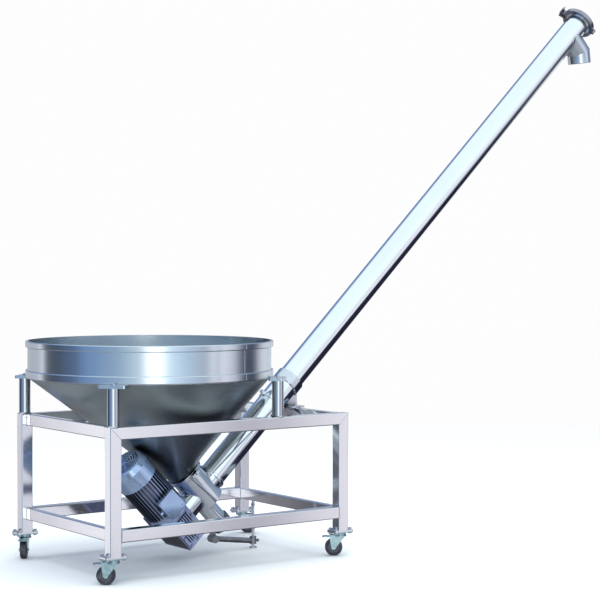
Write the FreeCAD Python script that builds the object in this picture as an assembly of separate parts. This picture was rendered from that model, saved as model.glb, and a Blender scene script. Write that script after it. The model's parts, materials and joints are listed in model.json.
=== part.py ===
import FreeCAD, Part
import math
import os

os.makedirs("parts", exist_ok=True)

Vector = FreeCAD.Vector
Placement = FreeCAD.Placement
Rotation = FreeCAD.Rotation
X_AXIS = Vector(1, 0, 0)
Y_AXIS = Vector(0, 1, 0)
Z_AXIS = Vector(0, 0, 1)
SIDES = (-1, 1)

# ---------------------------------------------------------------- stand
frame_length = 1170.0
frame_width = 800.0
frame_top = 616.0
leg_size = 50.0
frame_tube_wall = 3.0
frame_corner_radius = 4.0
short_rail_thickness = 30.0
lower_rail_top = 213.5
foot_plate_length = 98.0
foot_plate_width = 66.0
foot_plate_thickness = 6.0
plate_corner_radius = 8.0
caster_bolt_end_margin = 11.0
caster_bolt_side_margin = 14.0
caster_height = 105.0

# ---------------------------------------------------------------- casters
wheel_radius = 37.5
wheel_width = 25.0
wheel_side_gap = 1.0
tyre_edge_radius = 4.0
hub_radius = 23.0
hub_sleeve_radius = 8.0
hub_recess_depth = 6.0
hub_rim_wall = 4.0
axle_radius = 4.0
axle_head_radius = 7.5
axle_head_height = 5.0
running_clearance = 0.05
part_gap = 0.4
caster_trail = 28.0
caster_plate_thickness = 4.0
race_radius = 25.0
race_height = 11.0
kingpin_radius = 6.0
kingpin_head_radius = 11.0
kingpin_head_height = 4.0
yoke_plate_radius = 27.0
yoke_plate_thickness = 5.0
yoke_cheek_thickness = 3.0
yoke_back = 19.0
yoke_nose = 7.0
yoke_boss_radius = 11.0
pedal_pin_radius = 2.5
pedal_pin_ahead = 10.0
pedal_pin_drop = 7.0
pedal_barrel_radius = 5.0
pedal_neck_length = 18.0
pedal_tread_start = 12.0
pedal_length = 40.0
pedal_width = 38.0
pedal_thickness = 3.0
pedal_rib_height = 1.5
pedal_rib_width = 3.0
pedal_rib_pitch = 8.0
caster_headings = {
    "front_left": 143.7,
    "front_right": 143.7,
    "back_left": -126.3,
    "back_right": -36.3,
}

# ---------------------------------------------------------------- fasteners
bolt_radius = 5.0
bolt_hole_gap = 0.4
bolt_head_height = 6.4
bolt_head_radius = 9.2
nut_height = 8.0
thread_overhang = 2.0
small_screw_radius = 4.0
small_screw_height = 2.5

# ---------------------------------------------------------------- hopper
hopper_radius = 511.0
hopper_floor = 780.0
hopper_height = 152.0
rim_hoop_height = 26.0
lower_hoop_height = 32.0
hoop_thickness = 9.0
hoop_edge_radius = 3.5
sheet_wall = 3.0
post_radius = 24.5
post_wall = 3.0
post_clearance = 33.6
post_plug = 16.0
weld_ring_radius = 29.0
weld_ring_height = 5.0
lug_thickness = 12.0
lug_width = 113.0
lug_overhang = 28.0
lug_seat = 8.0

# ---------------------------------------------------------------- auger line
incline = 43.9
drive_height = 149.0
tube_radius = 58.0
tube_wall = 3.0
tube_end = 3372.0
saddle_clearance = 29.7
drum_centre = 186.0
drum_margin = 14.0
drum_top_offset = 126.0
drum_bottom_offset = 60.0
outlet_band_height = 20.0
outlet_band_thickness = 8.0
band_lug_length = 18.0
band_lug_thickness = 7.0
band_lug_gap = 10.0
tube_collar_length = 14.0
tube_collar_thickness = 7.0
clamp_ring_place = 700.0
clamp_ring_length = 14.0
clamp_ring_thickness = 3.0
ring_lug_height = 14.0
ring_lug_width = 16.0
clean_out_place = 160.0
clean_out_radius = 41.5
clean_out_end = 196.0
clean_out_cap_rim = 6.0
clean_out_cap_skirt = 14.0
spout_place = 3269.0
spout_mitre_offset = 110.0
spout_elbow = 36.0
spout_outlet_length = 56.0
end_flange_margin = 17.0
end_flange_thickness = 7.0
end_cover_thickness = 8.0
bearing_boss_radius = 30.0
bearing_boss_length = 24.0
bearing_radius = 22.0
bearing_end_wall = 4.0
edge_radius = 3.0

# ---------------------------------------------------------------- end clamp
clamp_outer_margin = 27.0
clamp_lip_margin = 10.0
clamp_lip_thickness = 4.0
clamp_split_gap = 8.0
clamp_closure_angle = 139.0
clamp_ear_thickness = 14.0
clamp_ear_reach = 24.0
clamp_bolt_reach = 13.0
clamp_bolt_radius = 4.0
clamp_bolt_length = 58.0
clamp_head_radius = 8.0
clamp_knuckle_radius = 8.0
clamp_knuckle_reach = 4.0
clamp_pin_radius = 3.0
wing_hub_radius = 8.0
wing_hub_height = 12.0
wing_thickness = 3.2
wing_span = 17.0
wing_rise = 19.0

# ---------------------------------------------------------------- screw
shaft_radius = 15.0
journal_radius = 12.5
shaft_end_gap = 4.0
flight_radius = 51.0
flight_pitch = 100.0
flight_thickness = 4.0
flight_start = 118.0
flight_turns = 31

# ---------------------------------------------------------------- tube saddle
saddle_plate_thickness = 8.0
saddle_plate_length = 76.0
saddle_plate_margin = 24.0
saddle_ring_thickness = 7.0
saddle_ring_half_length = 24.0
saddle_web_offset = 20.0
saddle_web_thickness = 6.0
saddle_web_inset = 4.0
saddle_web_rise = 26.0

# ---------------------------------------------------------------- gearbox
gearbox_half_length = 86.0
gearbox_half_width = 57.5
gearbox_centre = -4.0
gearbox_front = 118.0
gearbox_back = 84.0
gearbox_corner_radius = 9.0
gearbox_rib_pitch = 14.0
gearbox_groove_width = 8.0
gearbox_groove_depth = 7.0
gear_centre_distance = 75.0
worm_offset = -12.0
worm_radius = 18.0
worm_half_length = 42.0
worm_groove_pitch = 12.0
worm_groove_depth = 4.0
mesh_gap = 0.6
cavity_gap = 6.0
gear_wheel_half_width = 15.0
gear_rim_width = 12.0
gear_hub_radius = 22.0
gear_hub_overhang = 3.0
worm_end_wall = 16.0
cover_thickness = 6.0
cover_inset = 5.0
cover_rib_height = 9.0
cover_rib_width = 4.8
cover_rib_pitch = 11.0
cover_screw_radius = 6.0
cover_screw_height = 4.5
cover_middle_screw = 26.0

# ---------------------------------------------------------------- motor
rotor_radius = 44.0
rotor_gap = 1.0
rotor_length = 130.0
rotor_start = 50.0
motor_radius = 78.0
motor_fin_radius = 87.0
motor_fin_count = 36
motor_fin_thickness = 3.0
motor_flange_radius = 89.0
motor_flange_thickness = 12.0
motor_bell_length = 22.0
motor_shield = 312.0
motor_end = 402.0
cowl_radius = 90.0
cowl_end_radius = 80.0
cowl_taper = 30.0
cowl_start = 306.0
cowl_wall = 2.5
cowl_seat_length = 6.0
cowl_shoulder_radius = 12.0
grille_inner_radius = 14.0
grille_outer_radius = 66.0
grille_slot = 6.0
grille_pitch = 11.5
grille_spokes = 6
grille_spoke_width = 5.0
fan_radius = 74.0
fan_hub_radius = 24.0
fan_width = 24.0
fan_blades = 7
fan_blade_thickness = 3.0
fan_place = 16.0
box_centre = 164.0
box_length = 95.0
box_width = 90.0
box_front = 188.0
box_depth = 67.0
box_inset = 3.0
box_cavity = 14.0
box_wall = 4.0
box_lid_thickness = 6.0
box_corner_radius = 7.0
lid_screw_inset = 9.0
gland_radius = 11.0
gland_collar = 8.0
gland_length = 20.0
gland_wall = 3.0

# ---------------------------------------------------------------- support arm and levelling rod
arm_radius = 12.0
arm_reach = 210.0
arm_end_height = 32.0
arm_bush_radius = 17.0
arm_bush_length = 44.0
arm_bush_drop = 33.5
arm_band_width = 22.0
arm_band_thickness = 7.0
arm_cheek_half_width = 12.0
rod_lift = 12.0
rod_radius = 6.0
rod_top = 218.0
rod_collar_radius = 15.0
rod_collar_rise = 20.0
rod_foot_radius = 17.0
rod_foot_height = 6.0
rod_nut_radius = 10.0
rod_nut_height = 9.0
rod_nut_drop = 30.0
clamp_screw_length = 12.0
clamp_knob_radius = 7.0
clamp_knob_height = 6.0

# ---------------------------------------------------------------- worked-out places on the stand
centre_y = frame_width / 2
leg_centre = leg_size / 2
leg_foot = caster_height + foot_plate_thickness
race_floor = caster_height - caster_plate_thickness - race_height
yoke_top = race_floor - part_gap
cheek_inner = wheel_width / 2 + wheel_side_gap
cheek_outer = cheek_inner + yoke_cheek_thickness
pedal_pin_x = caster_trail + pedal_pin_ahead
pedal_pin_z = yoke_top - pedal_pin_drop
post_ring_radius = hopper_radius + post_clearance
post_half_y = centre_y - leg_centre
post_half_x = math.sqrt(post_ring_radius ** 2 - post_half_y ** 2)
hopper_x = leg_centre + post_half_x
lug_floor = hopper_floor - lug_thickness

# ---------------------------------------------------------------- worked-out places on the auger line
slope = math.radians(incline)
saddle_x = frame_length - leg_size + short_rail_thickness / 2
axis_height_at_saddle = frame_top + saddle_clearance + tube_radius / math.cos(slope)
drive_x = saddle_x - (axis_height_at_saddle - drive_height) / math.tan(slope)
drive_point = Vector(drive_x, centre_y, drive_height)
# On the auger line +Z runs up the tube, +X points down square to it and +Y is the stand's +Y.
auger_line = Placement(drive_point, Rotation(Y_AXIS, 90 - incline))
tube_bore_radius = tube_radius - tube_wall
drum_radius = tube_radius + drum_margin
gearbox_low = gearbox_centre - gearbox_half_width
gearbox_face = gearbox_centre + gearbox_half_width
intake_end = clamp_ring_place + clamp_ring_length / 2
head_start = spout_place - 2 * tube_radius
end_flange_radius = tube_radius + end_flange_margin
clamp_outer_radius = tube_radius + clamp_outer_margin
clamp_lip_radius = tube_radius + clamp_lip_margin
clamp_low = tube_end - end_flange_thickness - clamp_lip_thickness
clamp_width = end_flange_thickness + end_cover_thickness + 2 * clamp_lip_thickness
clamp_middle = clamp_low + clamp_width / 2
clamp_bolt_offset = clamp_outer_radius + clamp_bolt_reach
ear_outer = clamp_split_gap / 2 + clamp_ear_thickness
closure_turn = Placement(Vector(), Rotation(Z_AXIS, clamp_closure_angle))
worm_axis_y = -gear_centre_distance
gear_wheel_radius = gear_centre_distance - worm_radius - mesh_gap


# ---------------------------------------------------------------- helpers
def box(x0, x1, y0, y1, z0, z1):
    return Part.makeBox(x1 - x0, y1 - y0, z1 - z0, Vector(x0, y0, z0))


def cylinder(radius, start, direction, length):
    return Part.makeCylinder(radius, length, start, direction)


def ring(outer, inner, start, direction, length):
    return cylinder(outer, start, direction, length).cut(cylinder(inner, start, direction, length))


def prism(points, extrusion):
    corners = [Vector(*p) for p in points]
    return Part.Face(Part.makePolygon(corners + corners[:1])).extrude(extrusion)


def fuse(shapes):
    joined = shapes[0].fuse(shapes[1:])
    return joined.removeSplitter()


def cut_all(shape, tools):
    return shape.cut(Part.makeCompound(tools))


def group(solids):
    return Part.makeCompound(solids)


def moved(shape, placement):
    result = shape.copy()
    result.Placement = placement.multiply(result.Placement)
    return result


def edges_along(shape, axis):
    return [e for e in shape.Edges if abs(e.tangentAt(e.FirstParameter).dot(axis)) > 0.9]


def rims_over(shape, radius):
    # The closed circular edges larger than the given radius.
    return [e for e in shape.Edges if e.Closed and e.Length > 2 * math.pi * radius]


def hexagon(radius, start, direction, length):
    # A hexagonal prism with its corners on the given radius.
    points = [Vector(radius * math.cos(math.radians(a)), radius * math.sin(math.radians(a)), 0)
              for a in range(0, 360, 60)]
    solid = Part.Face(Part.makePolygon(points + points[:1])).extrude(Vector(0, 0, length))
    return moved(solid, Placement(start, Rotation(Z_AXIS, direction)))


def bolt(head_seat, direction, grip, nut=True):
    # The head stands against the direction, the shank runs along it, and a nut closes the grip.
    head = hexagon(bolt_head_radius, head_seat - direction * bolt_head_height, direction, bolt_head_height)
    tail = nut_height + thread_overhang if nut else 0
    solids = [fuse([head, cylinder(bolt_radius, head_seat, direction, grip + tail)])]
    if nut:
        seat = head_seat + direction * grip
        body = hexagon(bolt_head_radius, seat, direction, nut_height)
        solids.append(body.cut(cylinder(bolt_radius, seat, direction, nut_height)))
    return solids


def bolt_hole(start, direction, length):
    return cylinder(bolt_radius + bolt_hole_gap, start, direction, length)


# ---------------------------------------------------------------- stand pieces
def leg_places():
    far_x = frame_length - leg_centre
    far_y = frame_width - leg_centre
    return {"front_left": (leg_centre, leg_centre), "front_right": (far_x, leg_centre),
            "back_left": (leg_centre, far_y), "back_right": (far_x, far_y)}


def post_places():
    return [(hopper_x + sx * post_half_x, centre_y + sy * post_half_y) for sx in SIDES for sy in SIDES]


def caster_bolt_places():
    dx = foot_plate_length / 2 - caster_bolt_end_margin
    dy = foot_plate_width / 2 - caster_bolt_side_margin
    return [(sx * dx, sy * dy) for sx in SIDES for sy in SIDES]


def saddle_bolt_places():
    return [centre_y + side * tube_radius for side in SIDES]


def square_tube(x0, x1, y0, y1, z0, z1, axis):
    inset_x, inset_y, inset_z = [frame_tube_wall * (1 - abs(part)) for part in (axis.x, axis.y, axis.z)]
    outer = box(x0, x1, y0, y1, z0, z1)
    outer = outer.makeFillet(frame_corner_radius, edges_along(outer, axis))
    inner = box(x0 + inset_x, x1 - inset_x, y0 + inset_y, y1 - inset_y, z0 + inset_z, z1 - inset_z)
    return outer.cut(inner)


def legs():
    # Each leg's top is cut at 45 degrees where the long rail meets it.
    nodes = {}
    h = leg_centre
    for name, (x, y) in leg_places().items():
        tube = square_tube(x - h, x + h, y - h, y + h, leg_foot, frame_top, Z_AXIS)
        outer, inner = (x - h, x + h) if "left" in name else (x + h, x - h)
        wedge = [(outer, y - h, frame_top), (inner, y - h, frame_top - leg_size), (inner, y - h, frame_top)]
        nodes["leg_" + name] = tube.cut(prism(wedge, Vector(0, leg_size, 0)))
    return nodes


def long_rails():
    nodes = {}
    low = frame_top - leg_size
    for side, y0 in (("front", 0.0), ("back", frame_width - leg_size)):
        y1 = y0 + leg_size
        top = square_tube(0, frame_length, y0, y1, low, frame_top, X_AXIS)
        for outer, inner in ((0, leg_size), (frame_length, frame_length - leg_size)):
            wedge = [(outer, y0, frame_top), (inner, y0, low), (outer, y0, low)]
            top = top.cut(prism(wedge, Vector(0, leg_size, 0)))
        nodes["top_rail_" + side] = top
        nodes["lower_rail_" + side] = square_tube(leg_size, frame_length - leg_size, y0, y1,
                                                  lower_rail_top - leg_size, lower_rail_top, X_AXIS)
    return nodes


def short_rails():
    nodes = {}
    top_low = frame_top - leg_size
    for side, x0 in (("left", leg_size - short_rail_thickness), ("right", frame_length - leg_size)):
        span = (x0, x0 + short_rail_thickness, leg_size, frame_width - leg_size)
        top = square_tube(*span, top_low, frame_top, Y_AXIS)
        if side == "right":
            top = cut_all(top, [bolt_hole(Vector(saddle_x, y, top_low), Z_AXIS, leg_size)
                                for y in saddle_bolt_places()])
        nodes["top_rail_" + side] = top
        nodes["lower_rail_" + side] = square_tube(*span, lower_rail_top - leg_size, lower_rail_top, Y_AXIS)
    return nodes


def plate_with_holes(x, y, z, thickness):
    half_x = foot_plate_length / 2
    half_y = foot_plate_width / 2
    plate = box(x - half_x, x + half_x, y - half_y, y + half_y, z, z + thickness)
    plate = plate.makeFillet(plate_corner_radius, edges_along(plate, Z_AXIS))
    return cut_all(plate, [bolt_hole(Vector(x + dx, y + dy, z), Z_AXIS, thickness)
                           for dx, dy in caster_bolt_places()])


def foot_plates():
    return group([plate_with_holes(x, y, caster_height, foot_plate_thickness) for x,
                  y in leg_places().values()])


def caster_top_plates():
    # The plate carries the bearing race and the kingpin that the yoke hangs on.
    solids = []
    pin_foot = yoke_top - yoke_plate_thickness - part_gap - kingpin_head_height
    for x, y in leg_places().values():
        plate = plate_with_holes(x, y, caster_height - caster_plate_thickness, caster_plate_thickness)
        race = cylinder(race_radius, Vector(x, y, race_floor), Z_AXIS, race_height)
        pin = cylinder(kingpin_radius, Vector(x, y, pin_foot), Z_AXIS, race_floor - pin_foot)
        head = cylinder(kingpin_head_radius, Vector(x, y, pin_foot), Z_AXIS, kingpin_head_height)
        solids.append(fuse([plate, race, pin, head]))
    return group(solids)


def stand_bolts():
    solids = []
    down = Vector(0, 0, -1)
    low = caster_height - caster_plate_thickness
    grip = caster_plate_thickness + foot_plate_thickness
    for x, y in leg_places().values():
        for dx, dy in caster_bolt_places():
            solids += bolt(Vector(x + dx, y + dy, low), Z_AXIS, grip)
    for x, y in post_places():
        solids += bolt(Vector(x, y, hopper_floor), down, lug_thickness + post_plug, nut=False)
    for y in saddle_bolt_places():
        seat = Vector(saddle_x, y, frame_top + saddle_plate_thickness)
        solids += bolt(seat, down, saddle_plate_thickness + leg_size)
    return group(solids)


# ---------------------------------------------------------------- caster pieces, +X along the trail
def caster_place(name):
    x, y = leg_places()[name]
    return Placement(Vector(x, y, 0), Rotation(Z_AXIS, caster_headings[name]))


def across(radius, x, z, half_width):
    # A cylinder across the caster, centred on its middle plane.
    return cylinder(radius, Vector(x, -half_width, z), Y_AXIS, 2 * half_width)


def caster_yoke():
    plate_low = yoke_top - yoke_plate_thickness
    plate = cylinder(yoke_plate_radius, Vector(0, 0, plate_low), Z_AXIS, yoke_plate_thickness)
    bore = cylinder(kingpin_radius + running_clearance, Vector(0, 0, plate_low), Z_AXIS, yoke_plate_thickness)
    nose = pedal_pin_x + yoke_nose
    parts = [plate]
    for y0 in (cheek_inner, -cheek_outer):
        outline = [(-yoke_back, y0, plate_low), (-yoke_back, y0, yoke_top), (nose, y0, yoke_top),
                   (nose, y0, pedal_pin_z - yoke_nose), (caster_trail + yoke_boss_radius, y0, wheel_radius),
                   (caster_trail - yoke_boss_radius, y0, wheel_radius)]
        parts.append(prism(outline, Vector(0, yoke_cheek_thickness, 0)))
        parts.append(cylinder(yoke_boss_radius, Vector(caster_trail, y0, wheel_radius), Y_AXIS,
                              yoke_cheek_thickness))
    axle_end = cheek_outer + axle_head_height
    shank = across(axle_radius, caster_trail, wheel_radius, axle_end)
    pedal_pin = across(pedal_pin_radius, pedal_pin_x, pedal_pin_z, cheek_outer)
    yoke = fuse(parts).cut(bore).cut(shank).cut(pedal_pin)
    ends = [hexagon(axle_head_radius, Vector(caster_trail, y0, wheel_radius), Y_AXIS, axle_head_height)
            for y0 in (-axle_end, cheek_outer)]
    return group([yoke, fuse([shank] + ends), pedal_pin])


def caster_hub():
    sleeve_half = cheek_inner - part_gap
    disc = across(hub_radius, caster_trail, wheel_radius, wheel_width / 2)
    for y0 in (-wheel_width / 2, wheel_width / 2 - hub_recess_depth):
        start = Vector(caster_trail, y0, wheel_radius)
        disc = disc.cut(ring(hub_radius - hub_rim_wall, hub_sleeve_radius, start, Y_AXIS, hub_recess_depth))
    sleeve = across(hub_sleeve_radius, caster_trail, wheel_radius, sleeve_half)
    bore = across(axle_radius + running_clearance, caster_trail, wheel_radius, sleeve_half)
    return fuse([disc, sleeve]).cut(bore)


def caster_tyre():
    body = across(wheel_radius, caster_trail, wheel_radius, wheel_width / 2)
    body = body.makeFillet(tyre_edge_radius, rims_over(body, hub_radius))
    return body.cut(across(hub_radius, caster_trail, wheel_radius, wheel_width / 2))


def brake_pedal():
    barrel_half = cheek_inner - part_gap
    low = pedal_pin_z - pedal_thickness / 2
    top = low + pedal_thickness
    half = pedal_width / 2
    barrel = across(pedal_barrel_radius, pedal_pin_x, pedal_pin_z, barrel_half)
    neck = box(pedal_pin_x, pedal_pin_x + pedal_neck_length, -barrel_half, barrel_half, low, top)
    tread = box(pedal_pin_x + pedal_tread_start, pedal_pin_x + pedal_length, -half, half, low, top)
    tread = tread.makeFillet(plate_corner_radius, edges_along(tread, Z_AXIS))
    ribs = []
    for i in range(2):
        x0 = pedal_pin_x + pedal_length / 2 + pedal_rib_pitch * i
        ribs.append(box(x0, x0 + pedal_rib_width, -half + plate_corner_radius, half - plate_corner_radius,
                        top, top + pedal_rib_height))
    bore = across(pedal_pin_radius + running_clearance, pedal_pin_x, pedal_pin_z, barrel_half)
    return fuse([barrel, neck, tread] + ribs).cut(bore)


def casters():
    nodes = {}
    makers = {"caster_yoke": caster_yoke(), "caster_hub": caster_hub(), "caster_tyre": caster_tyre(),
              "brake_pedal": brake_pedal()}
    for name in leg_places():
        for kind, shape in makers.items():
            nodes[kind + "_" + name] = moved(shape, caster_place(name))
    return nodes


# ---------------------------------------------------------------- hopper pieces
def hopper_axis_point(z):
    return Vector(hopper_x, centre_y, z)


def hopper_cylinder():
    return ring(hopper_radius, hopper_radius - sheet_wall, hopper_axis_point(hopper_floor), Z_AXIS,
                hopper_height)


def hoop(z, height):
    outer = hopper_radius + hoop_thickness
    body = cylinder(outer, hopper_axis_point(z), Z_AXIS, height)
    body = body.makeFillet(hoop_edge_radius, rims_over(body, hopper_radius))
    return body.cut(cylinder(hopper_radius, hopper_axis_point(z), Z_AXIS, height))


def hopper_hoops():
    return group([hoop(hopper_floor, lower_hoop_height),
                  hoop(hopper_floor + hopper_height - rim_hoop_height, rim_hoop_height)])


def cone_solid(top_radius, outlet_radius):
    # A ruled skin from the level hopper circle to the outlet circle, which is parallel to the tube.
    top = Part.Wire(Part.makeCircle(top_radius))
    top.Placement = Placement(hopper_axis_point(hopper_floor), Rotation())
    outlet = Part.Wire(Part.makeCircle(outlet_radius))
    centre = auger_line.multVec(Vector(-drum_top_offset, 0, drum_centre))
    outlet.Placement = Placement(centre, Rotation(Y_AXIS, -incline))
    return Part.makeLoft([top, outlet], True, True)


def hopper_cone():
    # Two rolled halves, with their seams at the left and the right.
    outside = cone_solid(hopper_radius, drum_radius)
    shell = outside.cut(cone_solid(hopper_radius - sheet_wall, drum_radius - sheet_wall))
    x0 = hopper_x - hopper_radius
    x1 = hopper_x + hopper_radius
    front = box(x0, x1, centre_y - hopper_radius, centre_y, 0, hopper_floor)
    back = box(x0, x1, centre_y, centre_y + hopper_radius, 0, hopper_floor)
    return group([shell.common(front), shell.common(back)])


def lug(x, y):
    heading = math.degrees(math.atan2(y - centre_y, x - hopper_x))
    inner = hopper_radius + hoop_thickness - lug_seat
    outer = post_ring_radius + lug_overhang
    plate = box(inner, outer, -lug_width / 2, lug_width / 2, lug_floor, hopper_floor)
    plate = plate.makeFillet(plate_corner_radius, edges_along(plate, Z_AXIS))
    plate = plate.cut(bolt_hole(Vector(post_ring_radius, 0, lug_floor), Z_AXIS, lug_thickness))
    return moved(plate, Placement(Vector(hopper_x, centre_y, 0), Rotation(Z_AXIS, heading)))


def post(x, y):
    foot = Vector(x, y, frame_top)
    height = lug_floor - frame_top
    tube = cylinder(post_radius, foot, Z_AXIS, height)
    hollow = cylinder(post_radius - post_wall, foot, Z_AXIS, height - post_plug)
    weld = Part.makeCone(weld_ring_radius, post_radius, weld_ring_height, foot, Z_AXIS)
    return fuse([tube, weld]).cut(hollow).cut(bolt_hole(foot, Z_AXIS, height))


# ---------------------------------------------------------------- auger line pieces, in the line's own frame
def along(s):
    return Vector(0, 0, s)


def tube_core():
    return cylinder(tube_radius, along(gearbox_face), Z_AXIS, tube_end - gearbox_face)


def tube_section(start, end):
    return ring(tube_radius, tube_bore_radius, along(start), Z_AXIS, end - start)


def auger_tube():
    # Three lengths: the intake up to the joint under the clamp ring, the middle, and the discharge head.
    inlet = cylinder(tube_bore_radius, Vector(-drum_top_offset, 0, drum_centre), X_AXIS, drum_top_offset)
    clean_out = cylinder(clean_out_radius - sheet_wall, along(clean_out_place), X_AXIS, clean_out_end)
    branch = cylinder(tube_bore_radius, along(spout_place), X_AXIS, spout_mitre_offset)
    intake = tube_section(gearbox_face, intake_end).cut(inlet).cut(clean_out)
    flange_low = along(tube_end - end_flange_thickness)
    flange = ring(end_flange_radius, tube_radius, flange_low, Z_AXIS, end_flange_thickness)
    head = fuse([tube_section(head_start, tube_end), flange]).cut(branch)
    return group([intake, tube_section(intake_end, head_start), head])


def inlet_housing():
    height = drum_top_offset + drum_bottom_offset
    top = Vector(-drum_top_offset, 0, drum_centre)
    shell = ring(drum_radius, drum_radius - sheet_wall, top, X_AXIS, height)
    floor = cylinder(drum_radius, Vector(drum_bottom_offset - sheet_wall, 0, drum_centre), X_AXIS, sheet_wall)
    pipe_hole = cylinder(clean_out_radius, along(clean_out_place), X_AXIS, clean_out_end)
    return fuse([shell, floor]).cut(tube_core()).cut(pipe_hole)


def outlet_band():
    outer = drum_radius + outlet_band_thickness
    start = Vector(-drum_top_offset, 0, drum_centre)
    band = cylinder(outer, start, X_AXIS, outlet_band_height)
    band = band.makeFillet(edge_radius, rims_over(band, drum_radius))
    middle_x = -drum_top_offset + outlet_band_height / 2
    lug_half = outlet_band_height / 2 - 2
    lugs = []
    for z0 in (-band_lug_gap / 2 - band_lug_thickness, band_lug_gap / 2):
        low = drum_centre + z0
        lugs.append(box(middle_x - lug_half, middle_x + lug_half, -outer - band_lug_length, -drum_radius,
                        low, low + band_lug_thickness))
    grip = band_lug_gap + 2 * band_lug_thickness
    bolt_seat = Vector(middle_x, -outer - band_lug_length / 2, drum_centre - grip / 2)
    core = cylinder(drum_radius, start, X_AXIS, outlet_band_height)
    band = fuse([band] + lugs).cut(core).cut(bolt_hole(bolt_seat, Z_AXIS, grip))
    return group([band] + bolt(bolt_seat, Z_AXIS, grip))


def clean_out_pipe():
    # The pipe hangs from the tube's underside, through the housing's floor, and ends in a cap.
    pipe = ring(clean_out_radius, clean_out_radius - sheet_wall, along(clean_out_place), X_AXIS, clean_out_end)
    cap_start = Vector(clean_out_end, 0, clean_out_place)
    rim = clean_out_radius + clean_out_cap_rim
    disc = cylinder(rim, cap_start, X_AXIS, clean_out_cap_rim)
    skirt_start = cap_start - X_AXIS * clean_out_cap_skirt
    skirt = ring(rim, clean_out_radius, skirt_start, X_AXIS, clean_out_cap_skirt)
    return group([pipe.cut(tube_core()), fuse([disc, skirt])])


def tube_collars():
    start = along(drum_centre + drum_radius + part_gap)
    collar = cylinder(tube_radius + tube_collar_thickness, start, Z_AXIS, tube_collar_length)
    collar = collar.makeFillet(edge_radius, rims_over(collar, tube_radius)).cut(tube_core())
    band = cylinder(tube_radius + clamp_ring_thickness, along(clamp_ring_place), Z_AXIS, clamp_ring_length)
    lug_foot = tube_radius + clamp_ring_thickness
    ring_lug = box(-lug_foot - ring_lug_height, -tube_radius, -ring_lug_width / 2, ring_lug_width / 2,
                   clamp_ring_place, clamp_ring_place + clamp_ring_length)
    return group([collar, fuse([band, ring_lug]).cut(tube_core())])


def elbow_place():
    # The outlet's frame: +X runs out of the spout, starting at the mitre's centre.
    return Placement(Vector(spout_mitre_offset, 0, spout_place), Rotation(Y_AXIS, spout_elbow))


def spout_solid(radius, extra=0.0):
    # The branch runs out of the tube's underside and turns by the elbow angle at a mitre.
    back = 2 * tube_radius
    reach = 6 * tube_radius
    branch = cylinder(radius, along(spout_place), X_AXIS, spout_mitre_offset + back)
    outlet = moved(cylinder(radius, Vector(-back, 0, 0), X_AXIS, back + spout_outlet_length + extra),
                   elbow_place())
    mitre = Placement(Vector(spout_mitre_offset, 0, spout_place), Rotation(Y_AXIS, spout_elbow / 2))
    far_side = moved(box(0, reach, -reach / 2, reach / 2, -reach / 2, reach / 2), mitre)
    return branch.cut(far_side).fuse(outlet.common(far_side)).removeSplitter()


def discharge_spout():
    return spout_solid(tube_radius).cut(spout_solid(tube_bore_radius, extra=1.0)).cut(tube_core())


def end_cover():
    depth = end_cover_thickness + bearing_boss_length
    disc = cylinder(end_flange_radius, along(tube_end), Z_AXIS, end_cover_thickness)
    boss = cylinder(bearing_boss_radius, along(tube_end), Z_AXIS, depth)
    far_rim = [e for e in boss.Edges if e.Closed and e.CenterOfMass.z > tube_end + depth / 2]
    boss = boss.makeFillet(edge_radius, far_rim)
    return fuse([disc, boss]).cut(cylinder(bearing_radius, along(tube_end), Z_AXIS, depth - bearing_end_wall))


def end_bearing():
    depth = end_cover_thickness + bearing_boss_length - 2 * bearing_end_wall
    return ring(bearing_radius, journal_radius + running_clearance, along(tube_end), Z_AXIS, depth)


def clamp_channel():
    # The clamp's channel grips the tube's end flange and the cover, back to back.
    body = ring(clamp_outer_radius, clamp_lip_radius, along(clamp_low), Z_AXIS, clamp_width)
    body = body.makeFillet(edge_radius, rims_over(body, (clamp_outer_radius + clamp_lip_radius) / 2))
    groove = clamp_width - 2 * clamp_lip_thickness
    return body.cut(cylinder(end_flange_radius, along(clamp_low + clamp_lip_thickness), Z_AXIS, groove))


def clamp_half(side):
    # One half of the clamp on the +Y or -Y side, with its closure on +X and its hinge on -X.
    reach = 2 * clamp_outer_radius
    gap = clamp_split_gap / 2
    channel = clamp_channel().common(box(-reach, reach, gap, reach, clamp_low, clamp_low + clamp_width))
    ear = box(clamp_lip_radius + edge_radius, clamp_outer_radius + clamp_ear_reach, gap, ear_outer,
              clamp_low, clamp_low + clamp_width)
    ear = ear.cut(cylinder(clamp_outer_radius - edge_radius, along(clamp_low), Z_AXIS, clamp_width))
    bolt_axis = Vector(clamp_bolt_offset, 0, clamp_middle)
    ear = ear.cut(cylinder(clamp_bolt_radius + bolt_hole_gap, bolt_axis, Y_AXIS, reach))
    knuckle_low = clamp_low if side < 0 else clamp_middle + part_gap / 2
    knuckle_height = (clamp_width - part_gap) / 2
    hinge_x = -clamp_outer_radius - clamp_knuckle_reach
    knuckle = cylinder(clamp_knuckle_radius, Vector(hinge_x, 0, knuckle_low), Z_AXIS, knuckle_height)
    web = box(hinge_x, hinge_x + clamp_knuckle_radius, 0, gap + edge_radius * 2, knuckle_low,
              knuckle_low + knuckle_height)
    half = channel.fuse([ear])
    if side < 0:
        half = half.mirror(Vector(), Y_AXIS)
        web = web.mirror(Vector(), Y_AXIS)
    pin_hole = cylinder(clamp_pin_radius, Vector(hinge_x, 0, clamp_low), Z_AXIS, clamp_width)
    return fuse([half, knuckle, web]).cut(pin_hole)


def clamp_pin():
    start = Vector(-clamp_outer_radius - clamp_knuckle_reach, 0, clamp_low - thread_overhang)
    return cylinder(clamp_pin_radius, start, Z_AXIS, clamp_width + 2 * thread_overhang)


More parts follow.
